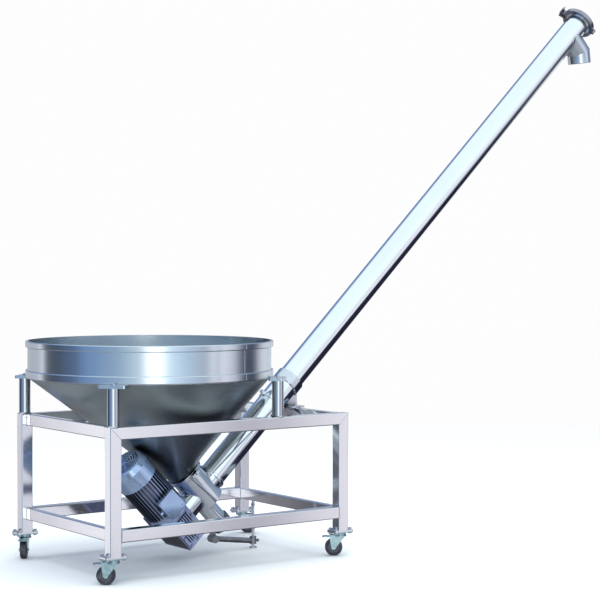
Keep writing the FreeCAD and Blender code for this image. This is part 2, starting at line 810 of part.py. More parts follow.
def clamp_bolt():
    head_height = axle_head_height
    end = clamp_bolt_length - ear_outer
    head = hexagon(clamp_head_radius, Vector(clamp_bolt_offset, -ear_outer - head_height, clamp_middle),
                   Y_AXIS,
                   head_height)
    shank_start = Vector(clamp_bolt_offset, -ear_outer, clamp_middle)
    shank = cylinder(clamp_bolt_radius, shank_start, Y_AXIS, clamp_bolt_length)
    stop_start = Vector(clamp_bolt_offset, end - edge_radius, clamp_middle)
    stop = cylinder(clamp_bolt_radius + thread_overhang, stop_start, Y_AXIS, edge_radius)
    return fuse([head, shank, stop])


def end_clamp():
    # Built with its closure on +X and then turned round the tube.
    pieces = [clamp_half(side) for side in SIDES] + [clamp_pin(), clamp_bolt()]
    return group([moved(piece, closure_turn) for piece in pieces])


def wing_nut():
    low = ear_outer + part_gap
    x0 = clamp_bolt_offset - wing_thickness / 2
    seat = Vector(clamp_bolt_offset, low, clamp_middle)
    parts = [cylinder(wing_hub_radius, seat, Y_AXIS, wing_hub_height)]
    for side in SIDES:
        outline = [(x0, low + thread_overhang, clamp_middle), (x0, low + wing_hub_height - 1, clamp_middle),
                   (x0, low + wing_rise, clamp_middle + side * wing_span),
                   (x0, low + wing_rise / 2, clamp_middle + side * (wing_span - edge_radius))]
        parts.append(prism(outline, Vector(wing_thickness, 0, 0)))
    bore = cylinder(clamp_bolt_radius + running_clearance, seat, Y_AXIS, wing_rise)
    return moved(fuse(parts).cut(bore), closure_turn)


# ---------------------------------------------------------------- screw
def auger_shaft():
    start = gearbox_low - 2 * gear_hub_overhang
    journal_start = tube_end - shaft_end_gap
    journal_end = tube_end + end_cover_thickness + bearing_boss_length - 3 * bearing_end_wall
    core = cylinder(shaft_radius, along(start), Z_AXIS, journal_start - start)
    journal = cylinder(journal_radius, along(journal_start), Z_AXIS, journal_end - journal_start)
    return fuse([core, journal])


def auger_flight():
    # One sheet-metal turn repeated along the shaft, as sectional flights are welded on.
    helix = Part.makeHelix(flight_pitch, flight_pitch, shaft_radius)
    half = flight_thickness / 2
    corners = [Vector(shaft_radius, 0, -half), Vector(flight_radius, 0, -half),
               Vector(flight_radius, 0, half), Vector(shaft_radius, 0, half)]
    profile = Part.makePolygon(corners + corners[:1])
    turn = Part.Wire(helix.Edges).makePipeShell([profile], True, True)
    if turn.Volume < 0:
        turn.reverse()
    return group([moved(turn, Placement(along(flight_start + i * flight_pitch), Rotation()))
                  for i in range(flight_turns)])


# ---------------------------------------------------------------- saddle, in the stand's frame
def tube_saddle():
    s = (saddle_x - drive_x) / math.cos(slope)
    ring_outer = tube_radius + saddle_ring_thickness
    band = cylinder(ring_outer, along(s - saddle_ring_half_length), Z_AXIS, 2 * saddle_ring_half_length)
    half_y = tube_radius + saddle_plate_margin
    half_x = saddle_plate_length / 2
    top = frame_top + saddle_plate_thickness
    plate = box(saddle_x - half_x, saddle_x + half_x, centre_y - half_y, centre_y + half_y, frame_top, top)
    plate = plate.makeFillet(plate_corner_radius, edges_along(plate, Z_AXIS))
    plate = cut_all(plate, [bolt_hole(Vector(saddle_x, y, frame_top), Z_AXIS, saddle_plate_thickness)
                            for y in saddle_bolt_places()])
    low_x = saddle_x - half_x + saddle_web_inset
    high_x = saddle_x + half_x - saddle_web_inset
    webs = []
    for y0 in (centre_y - saddle_web_offset - saddle_web_thickness, centre_y + saddle_web_offset):
        outline = [(low_x, y0, top), (high_x, y0, top), (high_x, y0, axis_height_at_saddle + saddle_web_rise),
                   (low_x, y0, axis_height_at_saddle - saddle_web_rise)]
        webs.append(prism(outline, Vector(0, saddle_web_thickness, 0)))
    above = moved(cylinder(tube_radius, along(0), Z_AXIS, tube_end), auger_line)
    return fuse([moved(band, auger_line), plate] + webs).cut(above)


# ---------------------------------------------------------------- drive pieces, in the auger line's frame
def worm_axis_point(x):
    return Vector(x, worm_axis_y, worm_offset)


def around_worm(shape, angle):
    turned = shape.copy()
    turned.rotate(worm_axis_point(0), X_AXIS, angle)
    return turned


def spoke(x0, x1, inner, outer, thickness):
    # A radial bar on the worm axis, standing towards +Z.
    return box(x0, x1, worm_axis_y - thickness / 2, worm_axis_y + thickness / 2,
               worm_offset + inner, worm_offset + outer)


def gearbox_housing():
    length = gearbox_half_length
    width = 2 * gearbox_half_width
    block = box(-length, length, -gearbox_front, gearbox_back, gearbox_low, gearbox_face)
    block = block.makeFillet(gearbox_corner_radius, edges_along(block, Z_AXIS))
    wheel_half = gear_wheel_half_width + cavity_gap
    wheel_cavity = cylinder(gear_wheel_radius + cavity_gap, along(worm_offset - wheel_half), Z_AXIS,
                            2 * wheel_half)
    hub_bore = cylinder(gear_hub_radius + running_clearance, along(gearbox_low), Z_AXIS, width)
    worm_half = worm_half_length + 2 * cavity_gap
    worm_cavity = cylinder(worm_radius + cavity_gap, worm_axis_point(-worm_half), X_AXIS, 2 * worm_half)
    shaft_bore = cylinder(journal_radius + running_clearance, worm_axis_point(-length), X_AXIS,
                          2 * length - worm_end_wall)
    block = block.cut(wheel_cavity).cut(hub_bore).cut(worm_cavity).cut(shaft_bore)
    end = length - 2 * cavity_gap
    half_groove = gearbox_groove_width / 2
    grooves = []
    for i in range(-3, 4):
        z = gearbox_centre + i * gearbox_rib_pitch
        grooves.append(box(-end, end, gearbox_back - gearbox_groove_depth, gearbox_back,
                           z - half_groove, z + half_groove))
    for i in range(-4, 5):
        y = (gearbox_back - gearbox_front) / 2 + i * 1.4 * gearbox_rib_pitch
        grooves.append(box(-end, end, y - half_groove, y + half_groove, gearbox_low,
                           gearbox_low + gearbox_groove_depth))
    return cut_all(block, grooves)


def gearbox_cover():
    # A ribbed plate bolted on the front face, with its ribs along the worm.
    front = -gearbox_front
    face = front - cover_thickness
    half_x = gearbox_half_length - cover_inset
    half_z = gearbox_half_width - cover_inset
    plate = box(-half_x, half_x, face, front, gearbox_centre - half_z, gearbox_centre + half_z)
    plate = plate.makeFillet(plate_corner_radius, edges_along(plate, Y_AXIS))
    rib_end = half_x - 4 * cover_screw_radius
    half_rib = cover_rib_width / 2
    ribs = []
    for i in range(-3, 4):
        z = gearbox_centre + i * cover_rib_pitch
        ribs.append(box(-rib_end, rib_end, face - cover_rib_height, face, z - half_rib, z + half_rib))
    outward = Vector(0, -1, 0)
    margin = 1.6 * cover_screw_radius
    places = [(sx * (half_x - margin), sz * (half_z - margin)) for sx in SIDES for sz in (-1, 0, 1)]
    places += [(sx * cover_middle_screw, sz * (half_z - cover_screw_radius)) for sx in SIDES for sz in SIDES]
    screws = [hexagon(cover_screw_radius, Vector(x, face, gearbox_centre + z), outward, cover_screw_height)
              for x, z in places]
    return group([fuse([plate] + ribs)] + screws)


def worm_wheel():
    low = gearbox_low - gear_hub_overhang
    length = 2 * (gearbox_half_width + gear_hub_overhang)
    rim_low = along(worm_offset - gear_wheel_half_width)
    rim = cylinder(gear_wheel_radius, rim_low, Z_AXIS, 2 * gear_wheel_half_width)
    hub = cylinder(gear_hub_radius, along(low), Z_AXIS, length)
    recess = ring(gear_wheel_radius - gear_rim_width, gear_hub_radius + cavity_gap, rim_low, Z_AXIS,
                  cavity_gap)
    return fuse([rim, hub]).cut(recess).cut(cylinder(shaft_radius, along(low), Z_AXIS, length))


def worm_shaft():
    back = motor_shield + fan_place + fan_width
    shaft = cylinder(journal_radius, worm_axis_point(-back), X_AXIS,
                     back + gearbox_half_length - worm_end_wall - 1)
    worm = cylinder(worm_radius, worm_axis_point(-worm_half_length), X_AXIS, 2 * worm_half_length)
    grooves = []
    for i in range(-3, 4):
        start = worm_axis_point((i - 0.25) * worm_groove_pitch)
        grooves.append(ring(worm_radius, worm_radius - worm_groove_depth, start, X_AXIS,
                            worm_groove_pitch / 2))
    rotor = cylinder(rotor_radius, worm_axis_point(rotor_start - motor_shield), X_AXIS, rotor_length)
    return fuse([shaft, cut_all(worm, grooves), rotor])


def cooling_fan():
    start = -motor_shield - fan_place - fan_width
    end = start + fan_width
    hub = ring(fan_hub_radius, journal_radius, worm_axis_point(start), X_AXIS, fan_width)
    blade = spoke(start, end, fan_hub_radius - 2, fan_radius, fan_blade_thickness)
    return fuse([hub] + [around_worm(blade, i * 360.0 / fan_blades) for i in range(fan_blades)])


def motor_housing():
    front = -gearbox_half_length
    back = -motor_shield
    neck = front - motor_flange_thickness
    shell = cylinder(motor_radius, worm_axis_point(back), X_AXIS, front - back)
    flange = cylinder(motor_flange_radius, worm_axis_point(neck), X_AXIS, motor_flange_thickness)
    bell = Part.makeCone(motor_fin_radius, motor_radius, motor_bell_length, worm_axis_point(neck), X_AXIS * -1)
    fin = spoke(back + 4, neck - motor_bell_length - 4, motor_radius - 3, motor_fin_radius,
                motor_fin_thickness)
    fins = [around_worm(fin, (i + 0.5) * 360.0 / motor_fin_count) for i in range(motor_fin_count)]
    body = fuse([shell, flange, bell] + fins)
    chamber_length = rotor_length + 2 * cavity_gap
    chamber = cylinder(rotor_radius + rotor_gap, worm_axis_point(back + rotor_start - cavity_gap), X_AXIS,
                       chamber_length)
    bore = cylinder(journal_radius + running_clearance, worm_axis_point(back), X_AXIS, front - back)
    return body.cut(chamber).cut(bore)


def cowl_skin(inset):
    # The cowl's outline as a solid, drawn in by the inset: a barrel, a taper and a rounded end.
    end = inset - motor_end
    nose = Part.makeCone(cowl_end_radius - inset, cowl_radius - inset, cowl_taper - inset,
                         worm_axis_point(end), X_AXIS)
    barrel = cylinder(cowl_radius - inset, worm_axis_point(cowl_taper - motor_end), X_AXIS,
                      motor_end - cowl_start - cowl_taper)
    whole = fuse([nose, barrel])
    return whole.makeFillet(cowl_shoulder_radius - inset,
                            [e for e in whole.Edges if e.Closed and e.CenterOfMass.x < end + 1])


def fan_cowl():
    # A pressed shell whose end is a grille of ring slots between spokes, seated on the motor's fins.
    end = -motor_end
    shell = cowl_skin(0).cut(cowl_skin(cowl_wall))
    slots = []
    radius = grille_inner_radius
    while radius + grille_slot <= grille_outer_radius:
        slots.append(ring(radius + grille_slot, radius, worm_axis_point(end), X_AXIS, cowl_wall))
        radius += grille_pitch
    bar = spoke(end, end + cowl_wall, 0, cowl_radius, grille_spoke_width)
    bars = [around_worm(bar, i * 360.0 / grille_spokes) for i in range(grille_spokes)]
    shell = shell.cut(Part.makeCompound(slots).cut(Part.makeCompound(bars)))
    seat_start = worm_axis_point(-cowl_start - cowl_seat_length)
    seat = ring(cowl_radius - cowl_wall, motor_fin_radius, seat_start, X_AXIS, cowl_seat_length)
    return shell.fuse(seat).removeSplitter()


def terminal_box():
    side = box_width / 2 - box_inset
    half_x = box_length / 2 - box_inset
    lid_low = -box_front + box_lid_thickness
    body = box(-box_centre - half_x, -box_centre + half_x, lid_low, lid_low + box_depth,
               worm_offset - side, worm_offset + side)
    cavity = box(-box_centre - half_x + box_wall, -box_centre + half_x - box_wall, lid_low,
                 lid_low + box_cavity,
                 worm_offset - side + box_wall, worm_offset + side - box_wall)
    motor = cylinder(motor_fin_radius, worm_axis_point(-motor_shield), X_AXIS,
                     motor_shield - gearbox_half_length)
    seat = Vector(-box_centre, lid_low + gland_radius, worm_offset - side)
    out = Z_AXIS * -1
    gland = fuse([hexagon(gland_radius, seat, out, gland_collar),
                  cylinder(gland_radius - gland_wall, seat, out, gland_length)])
    gland = gland.cut(cylinder(gland_radius - 2 * gland_wall, seat, out, gland_length))
    return group([body.cut(motor).cut(cavity), gland])


def terminal_box_lid():
    half_x = box_length / 2
    half_z = box_width / 2
    lid = box(-box_centre - half_x, -box_centre + half_x, -box_front, -box_front + box_lid_thickness,
              worm_offset - half_z, worm_offset + half_z)
    lid = lid.makeFillet(box_corner_radius, edges_along(lid, Y_AXIS))
    dx = half_x - lid_screw_inset
    dz = half_z - lid_screw_inset
    screws = [cylinder(small_screw_radius, Vector(-box_centre + sx * dx, -box_front, worm_offset + sz * dz),
                       Vector(0, -1, 0), small_screw_height) for sx in SIDES for sz in SIDES]
    return group([lid] + screws)


# ---------------------------------------------------------------- support arm and rod
def arm_bush_place():
    return Vector(clean_out_end + arm_bush_radius / 2, 0, clean_out_place - clean_out_radius - arm_bush_drop)


def arm_carrier():
    # A band round the clean-out pipe, with a cheek that holds the arm's bush, in the auger line's frame.
    place = arm_bush_place()
    start = Vector(clean_out_end - clean_out_cap_skirt - arm_band_width - 2, 0, clean_out_place)
    band = cylinder(clean_out_radius + arm_band_thickness, start, X_AXIS, arm_band_width)
    edge = clean_out_place - clean_out_radius
    half = arm_cheek_half_width
    foot = arm_bush_radius / 2
    outline = [(start.x, -half, edge), (start.x + arm_band_width, -half, edge - arm_band_thickness - part_gap),
               (place.x + foot, -half, place.z + foot), (place.x - foot, -half, place.z - foot)]
    cheek = prism(outline, Vector(0, 2 * half, 0))
    bush = cylinder(arm_bush_radius, Vector(place.x, -arm_bush_length / 2, place.z), Y_AXIS, arm_bush_length)
    return fuse([band, cheek, bush]).cut(cylinder(clean_out_radius, start, X_AXIS, arm_band_width))


def rod_x():
    return auger_line.multVec(arm_bush_place()).x + arm_reach


def support_arm():
    start = auger_line.multVec(arm_bush_place())
    end = Vector(rod_x(), centre_y, arm_end_height)
    bar = cylinder(arm_radius, start, (end - start).normalize(), (end - start).Length)
    bush_start = Vector(start.x, centre_y - arm_bush_length / 2, start.z)
    bush = cylinder(arm_bush_radius, bush_start, Y_AXIS, arm_bush_length)
    low = rod_foot_height + rod_lift + part_gap
    top = arm_end_height + rod_collar_rise
    collar = cylinder(rod_collar_radius, Vector(end.x, centre_y, low), Z_AXIS, top - low)
    screw_start = Vector(end.x + rod_collar_radius - 2, centre_y, arm_end_height)
    screw = cylinder(small_screw_radius, screw_start, X_AXIS, clamp_screw_length)
    knob = hexagon(clamp_knob_radius, screw_start + X_AXIS * (clamp_screw_length - 2), X_AXIS,
                   clamp_knob_height)
    bore = cylinder(rod_radius + running_clearance, Vector(end.x, centre_y, 0), Z_AXIS, 2 * top)
    below = cylinder(rod_foot_radius + part_gap, Vector(end.x, centre_y, 0), Z_AXIS, low)
    arm = fuse([bar.cut(bush), collar, screw, knob]).cut(bore).cut(below)
    return group([arm, moved(arm_carrier(), auger_line)])


def levelling_rod():
    foot = cylinder(rod_foot_radius, Vector(rod_x(), centre_y, 0), Z_AXIS, rod_foot_height)
    rod = cylinder(rod_radius, Vector(rod_x(), centre_y, 0), Z_AXIS, rod_top)
    nut = hexagon(rod_nut_radius, Vector(rod_x(), centre_y, rod_top - rod_nut_drop), Z_AXIS, rod_nut_height)
    return fuse([foot, rod, nut])


# ---------------------------------------------------------------- assembly
def stand_nodes():
    nodes = {}
    nodes.update(legs())
    nodes.update(long_rails())
    nodes.update(short_rails())
    nodes.update(casters())
    nodes["foot_plates"] = foot_plates()
    nodes["caster_top_plates"] = caster_top_plates()
    nodes["stand_bolts"] = stand_bolts()
    nodes["hopper_cylinder"] = hopper_cylinder()
    nodes["hopper_hoops"] = hopper_hoops()
    nodes["hopper_cone"] = hopper_cone()
    nodes["hopper_lugs"] = group([lug(x, y) for x, y in post_places()])
    nodes["support_posts"] = group([post(x, y) for x, y in post_places()])
    nodes["tube_saddle"] = tube_saddle()
    nodes["support_arm"] = support_arm()
    nodes["levelling_rod"] = levelling_rod()
    return nodes


def auger_line_nodes():
    makers = [auger_tube, inlet_housing, outlet_band, clean_out_pipe, tube_collars, discharge_spout, end_cover,
              end_bearing, end_clamp, wing_nut, auger_shaft, auger_flight, gearbox_housing, gearbox_cover,
              worm_wheel, worm_shaft, cooling_fan, motor_housing, fan_cowl, terminal_box, terminal_box_lid]
    return {maker.__name__: moved(maker(), auger_line) for maker in makers}


def base_centre(nodes):
    # The origin goes to the middle of the whole object's footprint, on the floor.
    whole = FreeCAD.BoundBox()
    for shape in nodes.values():
        whole.add(shape.optimalBoundingBox(False))
    return Vector(whole.Center.x, whole.Center.y, whole.ZMin)


def report_places(origin):
    # The joint and mount places that go with the parts, from the same values.
    places = {"drive_point": drive_point, "rod": Vector(rod_x(), centre_y, 0),
              "worm_axis": auger_line.multVec(worm_axis_point(0)),
              "wing_nut": auger_line.multVec(closure_turn.multVec(Vector(clamp_bolt_offset, 0, clamp_middle))),
              "spout_end": auger_line.multVec(elbow_place().multVec(Vector(spout_outlet_length, 0, 0))),
              "hopper_rim": hopper_axis_point(hopper_floor + hopper_height)}
    for name in leg_places():
        here = caster_place(name)
        places["swivel_" + name] = here.multVec(Vector())
        places["wheel_" + name] = here.multVec(Vector(caster_trail, 0, wheel_radius))
        places["pedal_" + name] = here.multVec(Vector(pedal_pin_x, 0, pedal_pin_z))
    for name, place in places.items():
        point = place - origin
        print("%-22s %10.4f %10.4f %10.4f" % (name, point.x, point.y, point.z))


def main():
    nodes = stand_nodes()
    nodes.update(auger_line_nodes())
    origin = base_centre(nodes)
    for name, shape in sorted(nodes.items()):
        shape.translate(origin * -1)
        shape.exportStep(os.path.join("parts", name + ".step"))
    print(len(nodes), "nodes")
    report_places(origin)


main()
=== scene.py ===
import json
import math

import bmesh
import bpy
from mathutils import Matrix, Vector


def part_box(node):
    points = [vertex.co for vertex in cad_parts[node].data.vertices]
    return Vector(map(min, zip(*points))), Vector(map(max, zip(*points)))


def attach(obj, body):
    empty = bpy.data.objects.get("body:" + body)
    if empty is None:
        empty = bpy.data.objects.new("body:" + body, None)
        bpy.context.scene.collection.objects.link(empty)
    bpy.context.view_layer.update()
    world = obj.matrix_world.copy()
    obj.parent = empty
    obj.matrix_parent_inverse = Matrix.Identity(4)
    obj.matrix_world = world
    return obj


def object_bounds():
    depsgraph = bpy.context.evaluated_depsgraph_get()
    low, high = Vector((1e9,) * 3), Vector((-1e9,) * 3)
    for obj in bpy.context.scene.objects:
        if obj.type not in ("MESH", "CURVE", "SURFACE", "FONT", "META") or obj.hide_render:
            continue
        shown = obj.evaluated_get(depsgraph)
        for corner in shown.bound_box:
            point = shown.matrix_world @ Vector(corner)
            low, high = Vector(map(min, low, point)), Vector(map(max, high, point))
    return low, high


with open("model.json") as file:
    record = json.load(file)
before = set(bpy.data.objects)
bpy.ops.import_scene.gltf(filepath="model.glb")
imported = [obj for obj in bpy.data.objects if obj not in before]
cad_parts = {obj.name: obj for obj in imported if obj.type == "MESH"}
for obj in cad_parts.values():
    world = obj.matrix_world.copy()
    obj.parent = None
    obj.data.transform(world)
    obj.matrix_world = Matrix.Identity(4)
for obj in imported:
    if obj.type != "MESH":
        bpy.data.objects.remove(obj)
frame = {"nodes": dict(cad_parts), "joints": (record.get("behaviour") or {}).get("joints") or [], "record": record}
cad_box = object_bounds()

MM = 0.001
scene = bpy.context.scene
nodes = frame["nodes"]
slot_of = {part["node"]: part["material_slot"] for part in frame["record"]["subparts"]}
joint = {j["name"]: j for j in frame["joints"]}

# ------------------------------------------------------------------ places read from the frame
line_point = Vector(joint["auger_spin"]["pos_m"])
line_along = Vector(joint["auger_spin"]["axis"]).normalized()
line_down = Vector(joint["motor_spin"]["axis"]).normalized()
line_side = Vector((0, 1, 0))
line_frame = Matrix((
    (line_down.x, line_side.x, line_along.x, line_point.x),
    (line_down.y, line_side.y, line_along.y, line_point.y),
    (line_down.z, line_side.z, line_along.z, line_point.z),
    (0, 0, 0, 1),
))
hopper_low, hopper_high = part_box("hopper_cylinder")
hopper_mid = (hopper_low + hopper_high) / 2
hopper_radius = (hopper_high.x - hopper_low.x) / 2


def on_line(x, y, z):
    """A point of the auger line's own frame, in the row frame: x down, y to the back, z up the tube."""
    return line_frame @ Vector((x, y, z))


def line_reach(node):
    """A node's lowest and highest corners in the auger line's own frame."""
    back = line_frame.inverted()
    points = [back @ v.co for v in nodes[node].data.vertices]
    low = Vector([min(p[i] for p in points) for i in range(3)])
    high = Vector([max(p[i] for p in points) for i in range(3)])
    return low, high


# ------------------------------------------------------------------ camera
CAMERA_PLACE = Vector((-4.67376, -6.00012, 1.25238))
CAMERA_AIM = Vector((0.59224474, 0.80547055, -0.0215261))
CAMERA_ROLL = 0.10
CAMERA_LENS = 99.43


def make_camera():
    data = bpy.data.cameras.new("camera")
    data.lens = CAMERA_LENS
    data.sensor_width = 36.0
    data.clip_end = 200.0
    cam = bpy.data.objects.new("camera", data)
    scene.collection.objects.link(cam)
    turn = CAMERA_AIM.to_track_quat("-Z", "Y").to_matrix().to_4x4()
    roll = Matrix.Rotation(math.radians(CAMERA_ROLL), 4, "Z")
    cam.matrix_world = Matrix.Translation(CAMERA_PLACE) @ turn @ roll
    scene.camera = cam


# ------------------------------------------------------------------ node helpers
def add(tree, kind, inputs=None, **settings):
    """A shader node with its settings, and its inputs given as values or as sockets to link."""
    made = tree.nodes.new(kind)
    for key, value in settings.items():
        setattr(made, key, value)
    for key, value in (inputs or {}).items():
        if isinstance(value, bpy.types.NodeSocket):
            tree.links.new(value, made.inputs[key])
        else:
            made.inputs[key].default_value = value
    return made


def math_node(tree, operation, a, b=0.0):
    return add(tree, "ShaderNodeMath", {0: a, 1: b}, operation=operation).outputs[0]


def remap(tree, value, low, high, to_low, to_high):
    made = add(tree, "ShaderNodeMapRange", {"Value": value, "From Min": low, "From Max": high,
                                            "To Min": to_low, "To Max": to_high})
    made.interpolation_type = "SMOOTHSTEP"
    return made.outputs["Result"]


def blend_colours(tree, factor, a, b):
    made = add(tree, "ShaderNodeMix", {"Factor": factor}, data_type="RGBA")
    for socket, value in zip((made.inputs[6], made.inputs[7]), (a, b)):
        if isinstance(value, bpy.types.NodeSocket):
            tree.links.new(value, socket)
        else:
            socket.default_value = value
    return made.outputs[2]


def ramp(tree, value, stops):
    made = add(tree, "ShaderNodeValToRGB", {"Fac": value})
    line = made.color_ramp
    line.interpolation = "EASE"
    while len(line.elements) < len(stops):
        line.elements.new(0.5)
    for element, (place, colour) in zip(line.elements, stops):
        element.position = place
        element.color = (*colour, 1)
    return made.outputs["Color"]


def noise(tree, vector, scale, detail=2.0, rough=0.5):
    settings = {"Vector": vector, "Scale": scale, "Detail": detail, "Roughness": rough}
    return add(tree, "ShaderNodeTexNoise", settings).outputs["Fac"]


def shade(colour, factor):
    return tuple(c * factor for c in colour) + (1,)


# ------------------------------------------------------------------ directions of the grain
def place_socket(tree):
    return add(tree, "ShaderNodeTexCoord").outputs["Object"]


def stretched(tree, scales):
    return add(tree, "ShaderNodeMapping", {"Vector": place_socket(tree), "Scale": scales}).outputs["Vector"]


def grain_along(axis, along=3.0, across=900.0):
    """Coordinates for streaks that run along the row frame's axis 0, 1 or 2."""
    scales = [across, across, across]
    scales[axis] = along
    return lambda tree: stretched(tree, scales)


def grain_round(centre, along=2.0, across=900.0):
    """Coordinates for streaks that run round an upright axis."""
    def build(tree):
        split = add(tree, "ShaderNodeSeparateXYZ", {0: place_socket(tree)})
        x = math_node(tree, "SUBTRACT", split.outputs[0], centre.x)
        y = math_node(tree, "SUBTRACT", split.outputs[1], centre.y)
        squares = math_node(tree, "ADD", math_node(tree, "MULTIPLY", x, x), math_node(tree, "MULTIPLY", y, y))
        reach = math_node(tree, "SQRT", squares)
        # the heading's cosine and sine, so that the streaks have no break
        cosine = math_node(tree, "MULTIPLY", math_node(tree, "DIVIDE", x, reach), along)
        sine = math_node(tree, "MULTIPLY", math_node(tree, "DIVIDE", y, reach), along)
        height = math_node(tree, "MULTIPLY", split.outputs[2], across)
        return add(tree, "ShaderNodeCombineXYZ", {0: cosine, 1: sine, 2: height}).outputs[0]
    return build


def grain_on_line(along=6.0, across=300.0):
    """Coordinates for streaks that run up the auger tube."""
    def build(tree):
        parts = []
        for direction, scale in ((line_down, across), (line_side, across), (line_along, along)):
            dot = add(tree, "ShaderNodeVectorMath", {0: place_socket(tree), 1: tuple(direction)},
                      operation="DOT_PRODUCT")
            parts.append(math_node(tree, "MULTIPLY", dot.outputs["Value"], scale))
        return add(tree, "ShaderNodeCombineXYZ", dict(enumerate(parts))).outputs[0]
    return build


def grain_even(scale):
    """Coordinates for a grain that is the same every way."""
    return lambda tree: stretched(tree, (scale, scale, scale))


# ------------------------------------------------------------------ materials
STREAK_BLEND = 0.25
STREAK_SHADE = 0.88
PATCH_GLOSS = 0.4
RELIEF_DEPTH = 0.6 * MM
WAVE_DEPTH = 10 * MM
WAVE_SCALE = 5.0
WAVE_DETAIL = 1.0
WAVE_ROUGHNESS = 0.4
DUST_TONE = (0.34, 0.33, 0.32, 1)
# The colour of the painted shade laid in hollows and on faces that look down.
PAINTED_SHADE_TONE = (0.012, 0.013, 0.017, 1)


def patchy_tone(tree, colour, soft, streak, patch):
    """The colour in soft patches, a little darker and lighter, under fine streaks."""
    patches = remap(tree, soft, 0.3, 0.7, 0.0, 1.0)
    tone = blend_colours(tree, patches, shade(colour, 1 - patch), shade(colour, 1 + patch / 2))
    streaks = math_node(tree, "MULTIPLY", streak, STREAK_BLEND)
    return blend_colours(tree, streaks, tone, shade(colour, STREAK_SHADE))


def dusty(tree, tone, soft, amount):
    cover = math_node(tree, "MULTIPLY", remap(tree, soft, 0.45, 0.75, 0.0, 1.0), amount)
    return blend_colours(tree, cover, tone, DUST_TONE)


def dark_hollows(tree, tone, reach, depth):
    """Painted shade: the colour turns darker where another face is within reach, as if shadowed there."""
    openness = add(tree, "ShaderNodeAmbientOcclusion", {"Distance": reach}, samples=8).outputs["AO"]
    return blend_colours(tree, remap(tree, openness, 0.25, 0.95, depth, 0.0), tone, PAINTED_SHADE_TONE)


def painted_shade_below(tree, tone, depth):
    """Painted shade: the colour turns darker where the surface faces down, as if in shadow from below."""
    normal = add(tree, "ShaderNodeNewGeometry").outputs["Normal"]
    upward = add(tree, "ShaderNodeSeparateXYZ", {0: normal}).outputs[2]
    downward = math_node(tree, "MULTIPLY", upward, -1.0)
    return blend_colours(tree, remap(tree, downward, 0.45, 0.70, 0.0, depth), tone, PAINTED_SHADE_TONE)


def bumped(tree, streak, relief, wave):
    """The surface's normal: slow waves in the sheet, if it has any, under its fine grain."""
    inputs = {"Height": streak, "Strength": relief, "Distance": RELIEF_DEPTH}
    if wave:
        slow = noise(tree, place_socket(tree), WAVE_SCALE, WAVE_DETAIL, WAVE_ROUGHNESS)
        waves = add(tree, "ShaderNodeBump", {"Height": slow, "Strength": wave, "Distance": WAVE_DEPTH})
        inputs["Normal"] = waves.outputs[0]
    return add(tree, "ShaderNodeBump", inputs).outputs[0]


def surface(name, colour, metallic, rough, grain, relief, patch=0.06, patch_scale=3.0, wave=0.0,
            coat=0.0, dust=0.0, hollow=None, under=0.0):
    """A surface whose grain gives its roughness and fine relief, with soft patches in its colour.

    rough is its least and most roughness. hollow is how near another face must be to lay painted shade on it, and
    how dark that painted shade is.
    under is how much painted shade darkens the faces that look down.
    """
    made = bpy.data.materials.new(name)
    made.use_nodes = True
    tree = made.node_tree
    tree.nodes.clear()
    streak = noise(tree, grain(tree), 1.0, 3.0, 0.6)
    soft = noise(tree, place_socket(tree), patch_scale)
    tone = patchy_tone(tree, colour, soft, streak, patch)
    if dust:
        tone = dusty(tree, tone, soft, dust)
    # Painted shade: darker in hollows and on faces that look down.
    if hollow:
        tone = dark_hollows(tree, tone, *hollow)
    if under:
        tone = painted_shade_below(tree, tone, under)
    streaky = remap(tree, streak, 0.25, 0.75, *rough)
    patchy = remap(tree, soft, 0.3, 0.8, 0.0, (rough[1] - rough[0]) * PATCH_GLOSS)
    shader = add(tree, "ShaderNodeBsdfPrincipled", {
        "Base Color": tone, "Roughness": math_node(tree, "ADD", streaky, patchy), "Metallic": metallic,
        "Coat Weight": coat, "Normal": bumped(tree, streak, relief, wave)})
    out = add(tree, "ShaderNodeOutputMaterial")
    tree.links.new(shader.outputs[0], out.inputs[0])
    return made


FRAME_TONE = (0.74, 0.74, 0.775)
HOPPER_TONE = (0.66, 0.72, 0.78)
CONE_TONE = (0.66, 0.73, 0.72)
TUBE_TONE = (0.82, 0.86, 0.90)
CASTING_TONE = (0.42, 0.50, 0.76)
SILVER_TONE = (0.44, 0.58, 0.84)


def sheet_metals(metal):
    """The stand, the hopper and the polished pipes."""
    for axis, letter in enumerate("XYZ"):
        metal("frame_steel_" + letter, FRAME_TONE, (0.07, 0.11), grain_along(axis), 0.05, patch=0.04,
              patch_scale=4.0, wave=0.03)
    metal("hopper_steel", HOPPER_TONE, (0.15, 0.23), grain_round(hopper_mid), 0.05, patch=0.05,
          patch_scale=2.5, wave=0.05)
    # The cone's hollow setting lays painted shade over its inside and where the motor and frame stand near it.
    metal("cone_steel", CONE_TONE, (0.26, 0.33), grain_round(hopper_mid), 0.02, patch=0.10, wave=0.08,
          hollow=(0.45, 0.8))
    metal("tube_steel", TUBE_TONE, (0.07, 0.13), grain_on_line(), 0.03, patch=0.03, wave=0.012)
    metal("post_steel", (0.52, 0.54, 0.58), (0.05, 0.11), grain_along(2), 0.03, patch=0.04, wave=0.02)
    # The polished and clamp steels get painted shade in their narrow hollows.
    metal("polished_steel", (0.62, 0.66, 0.72), (0.08, 0.16), grain_even(260.0), 0.06, patch=0.10,
          patch_scale=12.0, wave=0.16, hollow=(0.035, 0.85))
    metal("clamp_steel", (0.36, 0.34, 0.40), (0.12, 0.22), grain_even(300.0), 0.08, patch=0.10,
          patch_scale=30.0, hollow=(0.012, 0.7))


